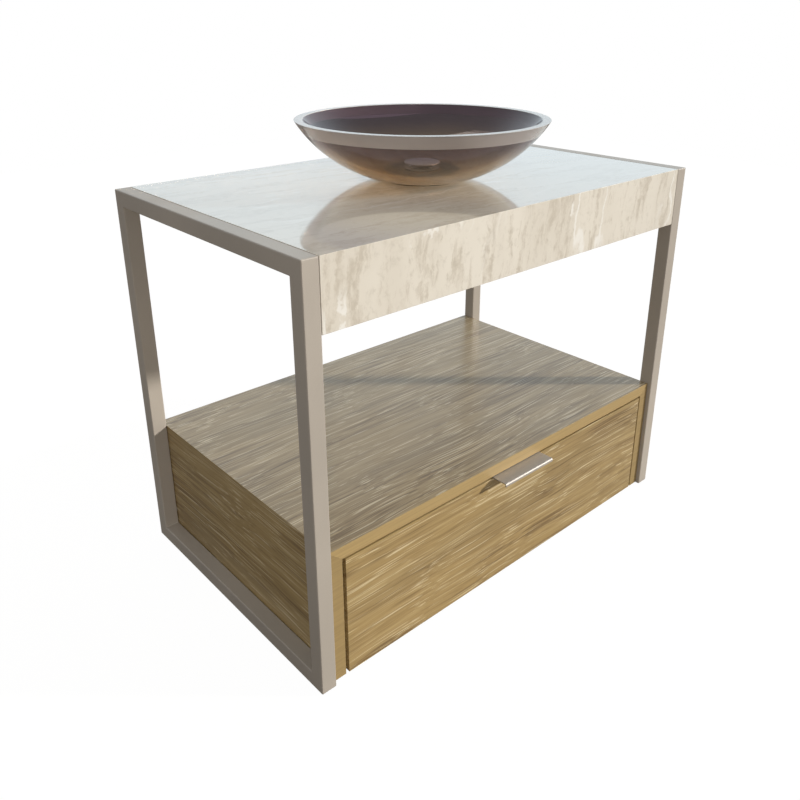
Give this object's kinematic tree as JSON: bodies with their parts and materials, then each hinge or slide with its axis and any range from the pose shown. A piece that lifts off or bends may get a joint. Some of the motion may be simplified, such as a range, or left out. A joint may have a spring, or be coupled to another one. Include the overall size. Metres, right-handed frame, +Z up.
{
  "type": "vessel sink on vanity",
  "caption": "Glass vessel basin on a stone counter with a deep apron, carried by two steel side frames over a low oak drawer cabinet.",
  "frame": {"origin": "on the floor under the middle of the overall box, edge pull included", "axes": "+X to the right of someone facing the drawer, +Y to the wall, +Z up"},
  "size_m": [0.914, 0.579, 0.824],
  "materials": {
    "frame_steel": "warm grey satin powder coat",
    "stone": "polished cream travertine with grey and beige veins",
    "cabinet_veneer": "oak veneer under matt lacquer",
    "drawer_veneer": "oak veneer under matt lacquer, grain across",
    "edge_band": "plain oak edge band",
    "birch_ply": "clear-lacquered birch",
    "satin_nickel": "fine-brushed nickel",
    "zinc_steel": "bright zinc plating",
    "chrome": "polished",
    "smoked_glass": "smoked brown glass, polished rim",
    "rubber": "black, matt",
    "nylon": "natural nylon"
  },
  "bodies": {
    "stand": {"left_front_post": "frame_steel", "left_rear_post": "frame_steel", "left_top_rail": "frame_steel", "left_bottom_rail": "frame_steel", "right_front_post": "frame_steel", "right_rear_post": "frame_steel", "right_top_rail": "frame_steel", "right_bottom_rail": "frame_steel", "foot_glides": "nylon", "left_stone_ledge": "frame_steel", "right_stone_ledge": "frame_steel", "front_cross_bar": "frame_steel", "rear_cross_bar": "frame_steel", "wall_brackets": "frame_steel", "stone_top": "stone", "stone_apron": "stone", "stone_bedding_pads": "rubber", "cabinet_top_panel": "cabinet_veneer", "cabinet_bottom_panel": "birch_ply", "cabinet_left_panel": "cabinet_veneer", "cabinet_right_panel": "cabinet_veneer", "cabinet_back_panel": "birch_ply", "top_edge_band": "edge_band", "left_edge_band": "edge_band", "right_edge_band": "edge_band", "frame_bolts": "zinc_steel", "frame_inserts": "zinc_steel", "cabinet_dowels": "birch_ply", "left_slide_outer": "zinc_steel", "right_slide_outer": "zinc_steel", "slide_cabinet_screws": "zinc_steel", "glass_bowl": "smoked_glass", "bowl_gasket": "rubber", "waste_flange_gasket": "rubber", "waste_body": "chrome", "waste_rubber_washer": "rubber", "waste_slip_washer": "nylon", "waste_lock_nut": "chrome", "tailpiece": "chrome", "tailpiece_seal": "rubber", "tailpiece_nut": "chrome", "click_cartridge": "chrome", "stopper_spring": "zinc_steel"},
    "drawer": {"drawer_front": "drawer_veneer", "drawer_inner_front": "birch_ply", "drawer_left_side": "birch_ply", "drawer_right_side": "birch_ply", "drawer_back": "birch_ply", "drawer_base": "birch_ply", "edge_pull": "satin_nickel", "edge_pull_screws": "satin_nickel", "drawer_front_screws": "zinc_steel", "left_slide_inner": "zinc_steel", "right_slide_inner": "zinc_steel", "slide_drawer_screws": "zinc_steel"},
    "left_slide_carriage": {"left_slide_middle": "zinc_steel"},
    "right_slide_carriage": {"right_slide_middle": "zinc_steel"},
    "stopper": {"stopper_stem": "chrome", "stopper_cap": "chrome", "stopper_seal": "rubber"}
  },
  "joints": [
    {"name": "drawer_slide", "type": "slide", "parent": "stand", "child": "drawer", "axis": [0, -1, 0], "range_m": [0, 0.45]},
    {"name": "left_carriage_slide", "type": "slide", "parent": "stand", "child": "left_slide_carriage", "axis": [0, -1, 0], "range_m": [0, 0.225]},
    {"name": "right_carriage_slide", "type": "slide", "parent": "stand", "child": "right_slide_carriage", "axis": [0, -1, 0], "range_m": [0, 0.225]},
    {"name": "stopper_press", "type": "slide", "parent": "stand", "child": "stopper", "axis": [0, 0, 1], "range_m": [-0.0078, 0], "stiffness_N_per_m": 400, "springref_m": 0.012, "deforming": ["stopper_spring"]}
  ],
  "couplings": [
    {"joint": "left_carriage_slide", "follows": "drawer_slide", "ratio": 0.5},
    {"joint": "right_carriage_slide", "follows": "drawer_slide", "ratio": 0.5}
  ]
}
